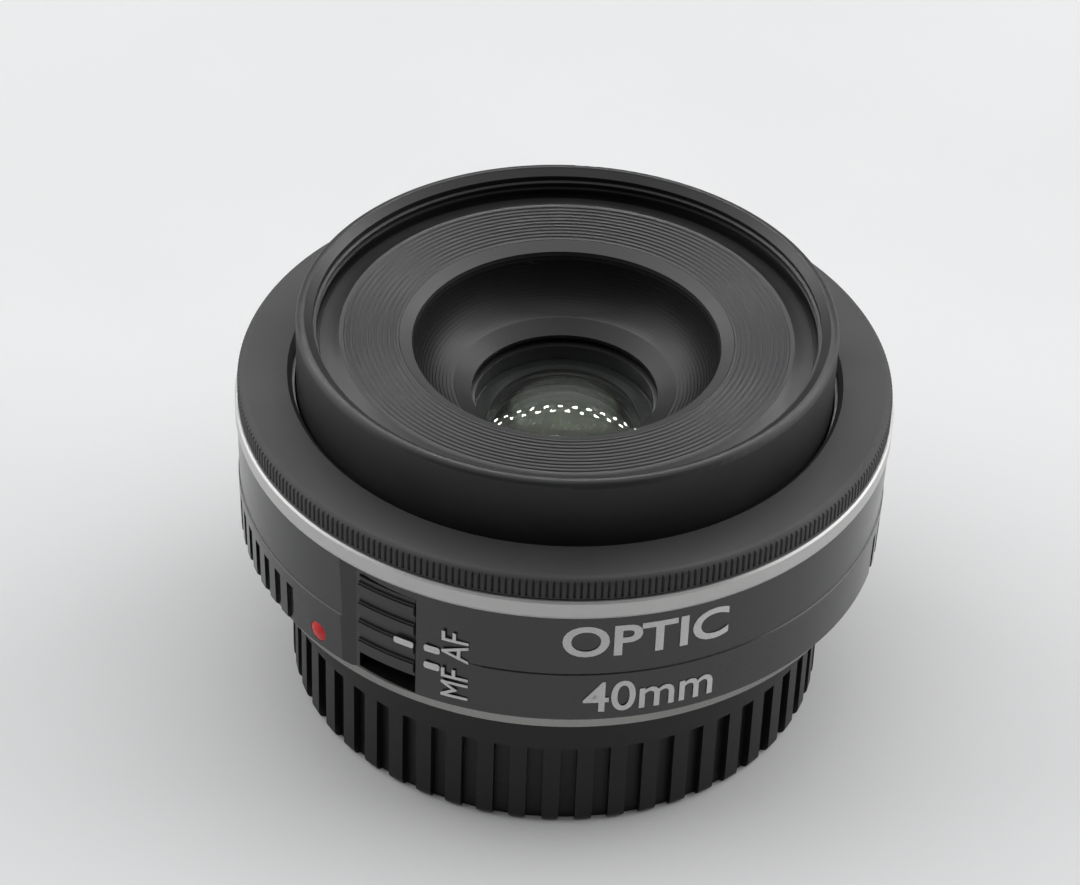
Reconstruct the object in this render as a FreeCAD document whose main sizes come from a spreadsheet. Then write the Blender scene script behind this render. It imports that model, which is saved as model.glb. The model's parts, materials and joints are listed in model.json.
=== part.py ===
"""40 mm pancake lens standing on its rear cap, one document object per physical piece.

Row frame: origin at the centre of the cap's foot, +Z along the optical axis to the front,
-Y towards the side that carries the engraving. Millimetres.
"""
import FreeCAD, Part
import math
import os
import Sketcher

V = FreeCAD.Vector
UP = V(0, 0, 1)

# ---------------------------------------------------------------- driving dimensions
DRIVING = {
    # rear cap
    "cap_height": 17.0,
    "cap_radius": 28.5,
    "cap_foot_round": 1.0,
    "cap_collar_radius": 29.3,
    "cap_floor": 1.6,
    "cap_groove_width": 1.7,
    "cap_groove_depth": 0.9,
    "cap_groove_count": 52,
    # bayonet
    "flange_radius": 32.5,
    "flange_thickness": 1.9,
    "lug_radius": 27.0,
    "tube_radius": 26.0,
    "tube_bore": 25.0,
    "tube_length": 4.4,
    # barrel and rings
    "barrel_radius": 33.9,
    "barrel_bore": 32.35,
    "barrel_top": 32.7,
    "silver_radius": 34.1,
    "silver_height": 2.1,
    "focus_radius": 33.8,
    "focus_height": 2.5,
    "focus_lip": 28.2,
    "skirt_radius": 31.4,
    "knurl_count": 320,
    "knurl_depth": 0.25,
    "slack": 0.08,
    # helicoid
    "guide_radius": 28.95,
    "cam_radius": 27.95,
    "follower_radius": 1.2,
    "follower_z": 28.6,
    "focus_in": 4.6,
    "focus_out": 2.6,
    "cam_sweep": 90,
    # moving unit
    "unit_radius": 27.7,
    "front_z": 44.4,
    "filter_bore": 26.0,
    "trim_radius": 23.1,
    "bevel_radius": 17.2,
    "cup_radius": 15.9,
    "window_radius": 9.67,
    "window_z": 34.5,
    # gear train
    "gear_module": 0.4,
    "cam_teeth": 136,
    "idler_teeth": 30,
    "pinion_teeth": 12,
    "idler_angle": 60,
    "motor_angle": 83.6,
    "motor_orbit": 19.5,
    # iris
    "blade_count": 7,
    "iris_bore": 6.3,
    "pivot_radius": 12.2,
    "blade_swing": 25.5,
    "ring_swing": 15,
    # switch
    "switch_angle": -29.8,
    "switch_travel": 2.0,
}

doc = FreeCAD.newDocument("pancake_lens")
sheet = doc.addObject("Spreadsheet::Sheet", "sizes")


class Size:
    """A number together with the sheet formula that gives it."""

    def __init__(self, value, text):
        self.value = float(value)
        self.text = text

    def _with(self, other, sign, work, swap=False):
        left, right = (other, self) if swap else (self, other)
        return Size(work(number(left), number(right)), f"({words(left)} {sign} {words(right)})")

    def __add__(self, other):
        return self._with(other, "+", lambda a, b: a + b)

    def __radd__(self, other):
        return self._with(other, "+", lambda a, b: a + b, swap=True)

    def __sub__(self, other):
        return self._with(other, "-", lambda a, b: a - b)

    def __rsub__(self, other):
        return self._with(other, "-", lambda a, b: a - b, swap=True)

    def __mul__(self, other):
        return self._with(other, "*", lambda a, b: a * b)

    def __truediv__(self, other):
        return self._with(other, "/", lambda a, b: a / b)


def number(size):
    return size.value if isinstance(size, Size) else float(size)


def words(size):
    return size.text if isinstance(size, Size) else f"{size:.6g}"


class Sizes:
    """The sheet's cells, read by name."""


def fill_sheet():
    cells = Sizes()
    for row, (alias, value) in enumerate(DRIVING.items(), start=1):
        sheet.set(f"A{row}", alias)
        sheet.set(f"B{row}", str(value))
        sheet.setAlias(f"B{row}", alias)
        setattr(cells, alias, Size(value, f"sizes.{alias}"))
    doc.recompute()
    return cells


S = fill_sheet()
KEPT = []

FLANGE = S.cap_height
SEAT = FLANGE + S.flange_thickness
FLOOR = SEAT + 1.6
RING_TOP = S.barrel_top + S.silver_height
FACE = RING_TOP + 0.1 + S.focus_height
LUG_Z = FLANGE - S.tube_length

# ---------------------------------------------------------------- layout of the small parts
LUG_ANGLES = (15.0, 135.0, 255.0)
SCREW_ANGLES = (45.0, 135.0, 225.0, 315.0)
SCREW_CIRCLE = 29.3
CONTACT_ANGLE = 135.5
BAFFLE_Z = 10.8
DOT_ANGLE = -44.5
DOT_Z = 21.1
SKIRT_LOW = 25.0
GUIDE_SCREWS = (80.0, 200.0, 320.0)
GUIDE_SCREW_CIRCLE = 30.45
FOLLOWER_ANGLES = (20.0, 140.0, 260.0)
CAM_FOOT, CAM_HEAD = 22.2, 36.0
GEAR_LOW, GEAR_HIGH = 20.9, 21.9
GEAR_PLAY = 0.07
BRIDGE_POSTS = ((16.6, 40.0), (18.0, 106.0))
BRIDGE_LOW, BRIDGE_HIGH = 22.5, 23.1
BOARD_LOW, BOARD_HIGH = 21.0, 21.6
BOARD_SCREWS = ((24.6, 195.0), (24.6, 345.0))
CHIPS = ((18.0, 24.0, 6.0, 1.0, 170), (18.6, 22.6, 4.0, 0.9, 205), (19.0, 23.4, 3.2, 0.8, 238),
         (18.8, 23.0, 4.6, 1.0, 275), (19.0, 21.0, 2.0, 0.6, 305), (19.4, 23.6, 2.4, 1.2, 140))
KNOB_LOW, KNOB_HIGH = 21.3, 31.2
WEB_LOW, WEB_HIGH = 30.2, 31.4
IRIS_MOTOR_ANGLE = 0.0
IRIS_MODULE = 0.3
IRIS_TEETH, IRIS_PINION_TEETH = 87, 8
IRIS_PINION_ORBIT = IRIS_MODULE * (IRIS_TEETH + IRIS_PINION_TEETH) / 2 + 0.03
IRIS_PLAY = 0.06
BLADE_LOW, BLADE_STEP, BLADE_SHEET = 24.5, 0.08, 0.05
RING_LOW, RING_HIGH = 25.15, 25.5
PIN_RADIUS, PIN_SLACK = 0.3, 0.05
PIN_LEAD = 9.0


def keep(piece, label):
    """Marks an object as a sub-part and names its file."""
    piece.Label = label
    KEPT.append(piece)
    return piece


def around(radius, degrees, z=0.0):
    """A point at an angle counted from -Y towards +X, the way the engraving is read."""
    turn = math.radians(number(degrees))
    return V(number(radius) * math.sin(turn), -number(radius) * math.cos(turn), number(z))


# ---------------------------------------------------------------- sketch helpers
def plane(body, role):
    return next(face for face in body.Origin.OriginFeatures if face.Role == role)


def sketch_on(body, name, role, lift=None):
    sketch = body.newObject("Sketcher::SketchObject", name)
    sketch.AttachmentSupport = (plane(body, role), "")
    sketch.MapMode = "FlatFace"
    if lift is not None:
        sketch.setExpression("AttachmentOffset.Base.z", words(lift))
    return sketch


def bend_between(start, end, radius):
    """Arc from start to end: a positive radius turns left, a negative one right."""
    middle = (start + end) * 0.5
    chord = end - start
    side = V(-chord.y, chord.x, 0).normalize()
    reach = math.sqrt(radius * radius - (chord.Length / 2) ** 2)
    centre = middle + side * (reach if radius > 0 else -reach)
    first, last = (start, end) if radius > 0 else (end, start)
    angles = [math.atan2(p.y - centre.y, p.x - centre.x) for p in (first, last)]
    circle = Part.Circle(centre, UP, abs(radius))
    return Part.ArcOfCircle(circle, angles[0], angles[1])


def pin_corner(sketch, edge, spot, corner):
    """Holds one end of an edge at the corner's two sizes."""
    for kind, axis, size in (("DistanceX", -2, corner[0]), ("DistanceY", -1, corner[1])):
        if number(size) == 0:
            sketch.addConstraint(Sketcher.Constraint("PointOnObject", edge, spot, axis))
            continue
        index = sketch.addConstraint(Sketcher.Constraint(kind, -1, 1, edge, spot, number(size)))
        if isinstance(size, Size):
            sketch.setExpression(f"Constraints[{index}]", size.text)


def outline(sketch, corners):
    """Closed outline; a corner's third value is the radius of the arc that leads to it."""
    spots = [V(number(c[0]), number(c[1]), 0) for c in corners]
    heads = []
    for i, corner in enumerate(corners):
        start = spots[i - 1]
        if len(corner) == 3:
            radius = number(corner[2])
            edge = sketch.addGeometry(bend_between(start, spots[i], radius), False)
            tail, head = (1, 2) if radius > 0 else (2, 1)
            fixed = sketch.addConstraint(Sketcher.Constraint("Radius", edge, abs(radius)))
            if isinstance(corner[2], Size):
                sketch.setExpression(f"Constraints[{fixed}]", corner[2].text)
        else:
            edge = sketch.addGeometry(Part.LineSegment(start, spots[i]), False)
            tail, head = 1, 2
        heads.append((edge, tail, head))
    for i, (edge, tail, _) in enumerate(heads):
        before, _, end = heads[i - 1]
        sketch.addConstraint(Sketcher.Constraint("Coincident", before, end, edge, tail))
    for (edge, _, head), corner in zip(heads, corners):
        pin_corner(sketch, edge, head, corner)


def new_body(name):
    return doc.addObject("PartDesign::Body", name + "_body")


def turned(name, corners, label=True):
    """A piece of revolution about the optical axis; corners are (radius, height)."""
    body = new_body(name)
    sketch = sketch_on(body, name + "_section", "XZ_Plane")
    outline(sketch, corners)
    spin = body.newObject("PartDesign::Revolution", name + "_turned")
    spin.Profile = sketch
    spin.ReferenceAxis = (sketch, ["V_Axis"])
    spin.Angle = 360
    if label:
        keep(body, name)
    return body


def cut_down(body, name, circles, top, depth, repeats=1, sweep=360):
    """Sinks round pockets, (x, y, radius), from height top down by depth."""
    doc.recompute()
    before = body.Shape.Volume
    sketch = sketch_on(body, name + "_places", "XY_Plane", top)
    for x, y, radius in circles:
        hole = sketch.addGeometry(Part.Circle(V(x, y, 0), UP, number(radius)), False)
        sketch.addConstraint(Sketcher.Constraint("DistanceX", -1, 1, hole, 3, x))
        sketch.addConstraint(Sketcher.Constraint("DistanceY", -1, 1, hole, 3, y))
        sketch.addConstraint(Sketcher.Constraint("Radius", hole, number(radius)))
    pocket = body.newObject("PartDesign::Pocket", name)
    pocket.Profile = sketch
    pocket.setExpression("Length", words(depth))
    spread(body, pocket, repeats, sweep)
    doc.recompute()
    if body.Shape.Volume > before - 0.001:
        raise RuntimeError(f"{name} removes nothing")
    return pocket


def cut_slots(body, name, corners, width, repeats, sweep=360, turn=0.0):
    """Cuts radial slots: a section in radius and height, cut to a width, repeated around Z."""
    doc.recompute()
    before = body.Shape.Volume
    sketch = sketch_on(body, name + "_section", "XZ_Plane")
    sketch.AttachmentOffset = FreeCAD.Placement(V(0, 0, 0), FreeCAD.Rotation(V(0, 1, 0), turn))
    outline(sketch, corners)
    pocket = body.newObject("PartDesign::Pocket", name)
    pocket.Profile = sketch
    pocket.SideType = "Symmetric"
    pocket.setExpression("Length", words(width))
    spread(body, pocket, repeats, sweep)
    doc.recompute()
    if body.Shape.Volume > before - 0.001:
        raise RuntimeError(f"{name} removes nothing")
    return pocket


def spread(body, feature, repeats, sweep):
    """Repeats a feature around the optical axis."""
    if number(repeats) < 2:
        return
    pattern = body.newObject("PartDesign::PolarPattern", feature.Name + "_round")
    pattern.Originals = [feature]
    pattern.Axis = (plane_axis(body), [""])
    pattern.Angle = sweep
    if isinstance(repeats, Size):
        pattern.setExpression("Occurrences", repeats.text)
    pattern.Occurrences = int(number(repeats))
    body.Tip = pattern


def plane_axis(body):
    return next(line for line in body.Origin.OriginFeatures if line.Role == "Z_Axis")


# ---------------------------------------------------------------- solid helpers
def solid_piece(label, shape):
    """A piece whose shape is worked out here from the sheet's sizes."""
    piece = doc.addObject("Part::Feature", label)
    piece.Shape = shape
    return keep(piece, label)


def rod(radius, low, high, centre=None):
    centre = centre or V(0, 0, 0)
    base = V(centre.x, centre.y, number(low))
    return Part.makeCylinder(number(radius), number(high) - number(low), base, UP)


def shell(outer, inner, low, high):
    return rod(outer, low, high).cut(rod(inner, number(low) - 1, number(high) + 1))


def radial_rod(radius, near, far, degrees, z):
    """A rod that points away from the optical axis."""
    start = around(near, degrees, z)
    way = around(1, degrees)
    return Part.makeCylinder(number(radius), number(far) - number(near), start, way)


def block(near, far, width, low, high, degrees):
    """A box with its long way out from the axis, centred on an angle."""
    box = Part.makeBox(number(width), number(far) - number(near), number(high) - number(low))
    box.translate(V(-number(width) / 2, -number(far), number(low)))
    box.rotate(V(0, 0, 0), UP, number(degrees))
    return box


def wedge(radius, start, end, low, high):
    """A sector of a disc between two angles, larger than anything it trims."""
    corners = [V(0, 0, number(low))]
    steps = max(2, int(abs(end - start) / 30) + 2)
    for i in range(steps + 1):
        corners.append(around(number(radius) * 1.3, start + (end - start) * i / steps, low))
    corners.append(corners[0])
    return Part.Face(Part.makePolygon(corners)).extrude(V(0, 0, number(high) - number(low)))


def joined(shapes):
    first, *rest = shapes
    return first.multiFuse(rest).removeSplitter() if rest else first


def group(shapes):
    """Separate solids of one kind in one node."""
    return Part.makeCompound(shapes)


def spun(shape, count, centre=None):
    """Copies of a shape around the optical axis."""
    copies = []
    for i in range(count):
        copy = shape.copy()
        copy.rotate(centre or V(0, 0, 0), UP, 360.0 * i / count)
        copies.append(copy)
    return copies


# ---------------------------------------------------------------- rear cap
def make_rear_cap():
    radius, foot = S.cap_radius, S.cap_foot_round
    rim = FLANGE - 0.1
    collar_low = FLANGE - 5.9
    bore = S.lug_radius + 0.3
    body = turned("rear_cap", [
        (0, 0), (radius - foot, 0), (radius, foot, foot), (radius, collar_low - 0.3),
        (S.cap_collar_radius, collar_low), (S.cap_collar_radius, rim - 0.3),
        (S.cap_collar_radius - 0.3, rim), (bore, rim), (bore, FLANGE - 5.2),
        (bore - 1.0, FLANGE - 5.7), (bore - 1.0, S.cap_floor), (0, S.cap_floor)], label=False)
    low, high = -1.0, collar_low - 1.0
    floor = radius - S.cap_groove_depth
    cut_slots(body, "cap_grooves", [
        (floor, low), (radius + 1.5, low), (radius + 1.5, high + 0.9), (floor, high)],
        S.cap_groove_width, S.cap_groove_count, 360, 274.2)
    doc.recompute()
    lug = shell(bore + 0.4, S.tube_radius + 0.15, LUG_Z + 1.9, LUG_Z + 3.1)
    lugs = [lug.common(wedge(bore, a - 24, a + 24, 0, 20)) for a in LUG_ANGLES]
    solid_piece("rear_cap", joined([body.Shape] + lugs))


# ---------------------------------------------------------------- bayonet mount
def make_mount():
    body = turned("mount", [
        (S.tube_bore, LUG_Z), (S.tube_radius, LUG_Z), (S.tube_radius, FLANGE),
        (S.flange_radius - 0.2, FLANGE), (S.flange_radius, FLANGE + 0.2),
        (S.flange_radius, SEAT - 0.2), (S.flange_radius - 0.2, SEAT), (S.tube_bore, SEAT)],
        label=False)
    places = [(p.x, p.y, 1.0) for p in (around(SCREW_CIRCLE, a) for a in SCREW_ANGLES)]
    cut_down(body, "mount_screw_holes", places, SEAT + 0.1, 3.0)
    heads = [(x, y, 1.75) for x, y, _ in places]
    cut_down(body, "mount_screw_seats", heads, FLANGE + 1.0, 1.2)
    doc.recompute()
    lug = shell(S.lug_radius, S.tube_radius - 0.2, LUG_Z, LUG_Z + 1.6)
    lugs = [lug.common(wedge(S.lug_radius, a - 25, a + 25, 0, 20)) for a in LUG_ANGLES]
    solid_piece("bayonet_mount", joined([body.Shape] + lugs))


def make_mount_screws():
    screws = []
    for angle in SCREW_ANGLES:
        spot = around(SCREW_CIRCLE, angle)
        head = rod(1.65, FLANGE + 0.05, FLANGE + 0.95, spot)
        slot = Part.makeBox(2.0, 0.4, 0.45, V(spot.x - 1.0, spot.y - 0.2, number(FLANGE) - 0.05))
        cross = Part.makeBox(0.4, 2.0, 0.45, V(spot.x - 0.2, spot.y - 1.0, number(FLANGE) - 0.05))
        shank = rod(0.85, FLANGE + 0.9, FLOOR - 0.1, spot)
        screws.append(joined([head, shank]).cut(slot).cut(cross))
    solid_piece("mount_screws", group(screws))


# ---------------------------------------------------------------- contacts and rear baffle
def make_contacts():
    arc = shell(24.8, 20.6, BAFFLE_Z - 0.2, 15.4)
    arc = arc.common(wedge(24.8, CONTACT_ANGLE - 29, CONTACT_ANGLE + 29, 0, 20))
    pins = []
    for i in range(8):
        angle = CONTACT_ANGLE - 21 + 6 * i
        spot = around(22.7, angle)
        pins.append(rod(0.75, BAFFLE_Z - 0.55, 12.4, spot).fuse(Part.makeSphere(
            0.75, V(spot.x, spot.y, BAFFLE_Z - 0.55))))
        arc = arc.cut(rod(0.78, 0, 12.4, spot))
    screws = []
    for side in (-25.6, 25.6):
        spot = around(22.7, CONTACT_ANGLE + side)
        arc = arc.cut(rod(1.05, 0, BAFFLE_Z + 0.6, spot)).cut(rod(0.52, 0, 14.6, spot))
        slot = Part.makeBox(1.6, 0.3, 0.35, V(spot.x - 0.8, spot.y - 0.15, BAFFLE_Z - 0.1))
        head = rod(1.0, BAFFLE_Z - 0.1, BAFFLE_Z + 0.6, spot)
        screws.append(head.fuse(rod(0.5, BAFFLE_Z + 0.5, 14.5, spot)).cut(slot))
    solid_piece("contact_block", arc)
    solid_piece("contact_pins", group([pin.removeSplitter() for pin in pins]))
    solid_piece("contact_screws", group(screws))


def make_rear_baffle():
    disc = rod(24.9, BAFFLE_Z, BAFFLE_Z + 0.6).fuse(shell(24.9, 24.0, BAFFLE_Z, 15.6))
    window = Part.makeBox(25.0, 20.4, 4, V(-12.5, -10.2, BAFFLE_Z - 1))
    upright = [edge for edge in window.Edges if abs(edge.tangentAt(edge.FirstParameter).z) > 0.9]
    window = window.makeFillet(2.5, upright)
    pocket = wedge(25, CONTACT_ANGLE - 29.6, CONTACT_ANGLE + 29.6, 0, 20).cut(rod(20.3, -1, 21))
    solid_piece("rear_baffle", disc.cut(window).cut(pocket).removeSplitter())


# ---------------------------------------------------------------- fixed barrel
def switch_window():
    return block(31, 36, 6.9, 19.2, 31.35, S.switch_angle)


def switch_scoop():
    """The shallow hollow beside the switch, deepest at its left lip."""
    lip, left, right = -39.2, -36.5, -10.0
    outer = [around(36, lip), around(37, (lip + right) / 2), around(36, right)]
    inner = [around(33.97, right), around(33.5, (left + right) / 2), around(33.08, left)]
    edge = around(34.0, lip)
    edges = [Part.Arc(*outer).toShape(), Part.makeLine(outer[2], inner[0]),
             Part.Arc(*inner).toShape(), Part.makeLine(inner[2], edge), Part.makeLine(edge, outer[0])]
    face = Part.Face(Part.Wire(edges))
    face.translate(V(0, 0, number(SEAT) - 1))
    return face.extrude(V(0, 0, 20))


def make_barrel():
    radius = S.barrel_radius
    top = S.barrel_top
    body = turned("barrel", [
        (S.lug_radius, SEAT), (radius - 0.6, SEAT), (radius - 0.1, SEAT + 0.5),
        (radius + 0.02, SEAT + 6.4), (radius - 0.1, SEAT + 6.52), (radius + 0.05, top),
        (S.barrel_bore + 0.65, top), (S.barrel_bore + 0.65, top - 1.3), (S.barrel_bore, top - 1.3),
        (S.barrel_bore, FLOOR), (S.lug_radius, FLOOR)], label=False)
    for name, turn in (("left_grip", 154.5), ("right_grip", 345.0)):
        cut_slots(body, name, [
            (radius - 0.45, SEAT - 0.1), (radius + 1, SEAT - 0.1), (radius + 1, SEAT + 5.2),
            (radius - 0.15, SEAT + 5.2), (radius - 0.45, SEAT + 4.8)], 1.2, 16, 63, turn)
    holes = [(p.x, p.y, 0.87) for p in (around(SCREW_CIRCLE, a) for a in SCREW_ANGLES)]
    holes += [(p.x, p.y, 0.52) for p in (around(GUIDE_SCREW_CIRCLE, a) for a in GUIDE_SCREWS)]
    cut_down(body, "barrel_screw_holes", holes, FLOOR, 1.6)
    doc.recompute()
    shape = body.Shape.cut(switch_scoop()).cut(switch_window())
    dot = radial_rod(1.12, 33.3, 36, DOT_ANGLE, DOT_Z)
    solid_piece("main_barrel", shape.cut(dot).removeSplitter())


def make_index_dot():
    """A round bead with a low dome that stands proud of the barrel."""
    stem = radial_rod(1.1, 33.3, 36, DOT_ANGLE, DOT_Z)
    dome = 2.17
    ball = Part.makeSphere(dome, around(34.08 - dome, DOT_ANGLE, DOT_Z))
    solid_piece("index_dot", stem.common(ball))


def make_barrel_rings():
    low, top = S.barrel_top, RING_TOP
    inner = S.skirt_radius + 0.15
    turned("silver_ring", [
        (inner, low - 0.7), (S.barrel_bore + 0.6, low - 0.7), (S.barrel_bore + 0.6, low),
        (S.silver_radius - 0.15, low), (S.silver_radius, low + 0.3), (S.silver_radius, top - 0.2),
        (S.silver_radius - 0.2, top), (inner, top)])
    keeper = shell(S.barrel_bore + 0.6, S.skirt_radius - 0.2, low - 1.3, low - 0.75)
    gap = wedge(34, 168, 192, 0, 50)
    solid_piece("focus_ring_keeper", keeper.cut(gap))


# ---------------------------------------------------------------- focus ring
def knurled_blank(radius, depth, count, low, high):
    """A disc whose edge carries fine upright ridges with flat crests."""
    points = []
    step = 360.0 / count
    for i in range(count):
        base = i * step
        for share, sink in ((0.0, 0.0), (0.45, 0.0), (0.72, depth)):
            points.append(around(radius - sink, base + share * step, low))
    points.append(points[0])
    return Part.Face(Part.makePolygon(points)).extrude(V(0, 0, high - low))


def make_focus_ring():
    low = RING_TOP + 0.1
    lip = S.focus_lip
    skirt, wall = S.skirt_radius, 0.5
    notch_low, notch_high = S.barrel_top - 1.4, S.barrel_top - 0.65
    body = turned("focus_blank", [
        (skirt, low), (S.focus_radius - 0.15, low), (S.focus_radius, low + 0.15),
        (S.focus_radius, FACE - 0.55), (S.focus_radius - 0.85, FACE, 0.95),
        (lip + 0.5, FACE), (lip, FACE - 0.5), (lip, FACE - 1.0), (skirt - wall, FACE - 1.0),
        (skirt - wall, SKIRT_LOW), (skirt, SKIRT_LOW), (skirt, notch_low),
        (skirt - 0.28, notch_low), (skirt - 0.28, notch_high), (skirt, notch_high)], label=False)
    doc.recompute()
    ridges = knurled_blank(number(S.focus_radius) + 0.02, number(S.knurl_depth),
                           int(number(S.knurl_count)), number(low) + 0.25, number(FACE) - 0.1)
    plain = rod(S.skirt_radius + 0.4, 0, 60)
    band = shell(40, 20, number(low) + 0.25, number(FACE) - 0.1)
    knurl = ridges.common(body.Shape).cut(plain)
    solid_piece("focus_ring", body.Shape.cut(band.cut(plain)).fuse(knurl))


def make_encoder_comb():
    """The slotted strip under the focus ring's skirt that the sensor reads."""
    comb = shell(S.skirt_radius - 0.1, S.skirt_radius - 0.4, 22.6, SKIRT_LOW)
    teeth = spun(block(28, 34, 0.9, 22.0, 24.4, 0), 90)
    solid_piece("encoder_comb", comb.cut(group(teeth)))


# ---------------------------------------------------------------- guide barrel and cam
def make_guide_barrel():
    outer = S.guide_radius + 0.7
    body = turned("guide", [
        (S.guide_radius, FLOOR), (outer + 1.6, FLOOR), (outer + 1.6, FLOOR + 0.8),
        (outer, FLOOR + 0.8), (outer, FACE - 1.25), (S.guide_radius, FACE - 1.25)], label=False)
    doc.recompute()
    shape = body.Shape
    reach = number(S.follower_radius) + number(S.slack)
    low = number(S.follower_z) - number(S.focus_in)
    high = number(S.follower_z) + number(S.focus_out)
    for angle in FOLLOWER_ANGLES:
        shape = shape.cut(block(27, 32, 2 * reach, low, high, angle))
        for z in (low, high):
            shape = shape.cut(radial_rod(reach, 27, 32, angle, z))
    for angle in GUIDE_SCREWS:
        spot = around(GUIDE_SCREW_CIRCLE, angle)
        shape = shape.cut(rod(0.62, 0, 30, spot))
    solid_piece("guide_barrel", shape)



def make_guide_screws():
    screws = []
    for angle in GUIDE_SCREWS:
        spot = around(GUIDE_SCREW_CIRCLE, angle)
        head = rod(0.68, FLOOR + 0.8, FLOOR + 1.4, spot)
        slot = Part.makeBox(1.6, 0.25, 0.3, V(spot.x - 0.8, spot.y - 0.12, number(FLOOR) + 1.2))
        screws.append(head.fuse(rod(0.5, FLOOR - 1.2, FLOOR + 0.9, spot)).cut(slot))
    solid_piece("guide_screws", group(screws))


def helix_slot(radius, reach, rise_low, rise_high, lead, angle, z):
    """The path a follower takes through a turning ring, as a solid that cuts it."""
    slope = math.atan(lead / (2 * math.pi * radius))
    half = reach / math.cos(slope)
    start_turn = angle + 360.0 * rise_low / lead
    spine = Part.makeHelix(lead, rise_high - rise_low, radius)
    section = Part.makePolygon([
        V(radius - 2, 0, -half), V(radius + 2, 0, -half), V(radius + 2, 0, half),
        V(radius - 2, 0, half), V(radius - 2, 0, -half)])
    sweep = Part.Wire(spine.Edges).makePipeShell([section], True, True)
    sweep.rotate(V(0, 0, 0), UP, start_turn - 90.0)
    sweep.translate(V(0, 0, z + rise_low))
    ends = [radial_rod(reach, radius - 2, radius + 2, angle + 360.0 * rise / lead, z + rise)
            for rise in (rise_low, rise_high)]
    return [sweep] + ends


def make_cam_ring():
    """Three helical slots drive the followers; the ring turns, the unit only slides."""
    inner, outer = S.cam_radius, S.guide_radius - S.slack
    ring = shell(outer, inner, CAM_FOOT, CAM_HEAD)
    reach = number(S.follower_radius) + number(S.slack)
    travel = number(S.focus_in) + number(S.focus_out)
    lead = 360.0 / number(S.cam_sweep) * travel
    middle = (number(inner) + number(outer)) / 2
    for angle in FOLLOWER_ANGLES:
        for cutter in helix_slot(middle, reach, -number(S.focus_in), number(S.focus_out),
                                 lead, angle, number(S.follower_z)):
            ring = ring.cut(cutter)
    solid_piece("cam_ring", ring)


# ---------------------------------------------------------------- gears
def involute_point(base, angle):
    return base * math.hypot(1, angle), angle - math.atan(angle)


def tooth_flank(module, teeth, play, root, tip):
    """Half a tooth as (radius, angle) pairs from root to tip; play thins the tooth."""
    pitch = module * teeth / 2
    base = pitch * math.cos(math.radians(20))
    at_pitch = math.tan(math.radians(20)) - math.radians(20)
    half = math.pi / (2 * teeth) - play / (2 * pitch) + at_pitch
    flank = []
    start = max(root, base)
    if root < base:
        flank.append((root, half))
    for i in range(5):
        radius = start + (tip - start) * i / 4
        roll = math.sqrt(max(0.0, (radius / base) ** 2 - 1))
        flank.append((radius, half - involute_point(base, roll)[1]))
    return flank


def gear_face(module, teeth, play, root, tip):
    """Outline of an external gear, or of the hole in an internal one."""
    flank = tooth_flank(module, teeth, play, root, tip)
    edges = []
    first = None
    last = None
    for i in range(teeth):
        middle = 2 * math.pi * i / teeth
        rising = [polar(r, middle - a) for r, a in flank]
        falling = [polar(r, middle + a) for r, a in reversed(flank)]
        if last is not None:
            edges.append(Part.makeLine(last, rising[0]))
        first = first or rising[0]
        edges += [Part.makePolygon(rising).Edges, Part.makeLine(rising[-1], falling[0])]
        edges.append(Part.makePolygon(falling).Edges)
        last = falling[-1]
    edges.append(Part.makeLine(last, first))
    flat = []
    for item in edges:
        flat += item if isinstance(item, list) else [item]
    return Part.Face(Part.Wire(flat))


def polar(radius, angle):
    return V(radius * math.cos(angle), radius * math.sin(angle), 0)


def gear(module, teeth, play, low, high, centre, turn, bore):
    pitch = module * teeth / 2
    face = gear_face(module, teeth, play, pitch - 1.2 * module, pitch + 0.85 * module)
    blank = face.extrude(V(0, 0, high - low))
    blank.rotate(V(0, 0, 0), UP, turn)
    blank.translate(V(centre.x, centre.y, low))
    return blank.cut(rod(bore, low - 1, high + 1, centre))


def gear_places():
    """Axes of the idler and the motor, a shade apart so that the teeth run freely."""
    module = number(S.gear_module)
    idler = around(module * (number(S.cam_teeth) - number(S.idler_teeth)) / 2 - 0.03, S.idler_angle)
    motor = around(S.motor_orbit, S.motor_angle)
    return idler, motor


def make_gears():
    module = number(S.gear_module)
    big, small, ring = (int(number(n)) for n in (S.idler_teeth, S.pinion_teeth, S.cam_teeth))
    idler, motor = gear_places()
    outward = math.degrees(math.atan2(idler.y, idler.x))
    across = math.degrees(math.atan2(motor.y - idler.y, motor.x - idler.x))
    pitch = module * ring / 2
    space = gear_face(module, ring, -GEAR_PLAY, pitch - 0.85 * module, pitch + 1.2 * module)
    hole = space.extrude(V(0, 0, 4))
    hole.rotate(V(0, 0, 0), UP, outward)
    hole.translate(V(0, 0, 20))
    blank = rod(S.guide_radius - S.slack, FLOOR + 0.1, CAM_FOOT)
    solid_piece("cam_gear", blank.cut(hole))
    levels = (GEAR_PLAY, GEAR_LOW, GEAR_HIGH)
    solid_piece("idler_gear", gear(module, big, *levels, idler, outward, 0.56))
    phase = (across - outward) * big / small
    pinion_turn = across + 180 + phase + 180.0 / small
    solid_piece("motor_pinion", gear(module, small, *levels, motor, pinion_turn, 0.4))


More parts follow.
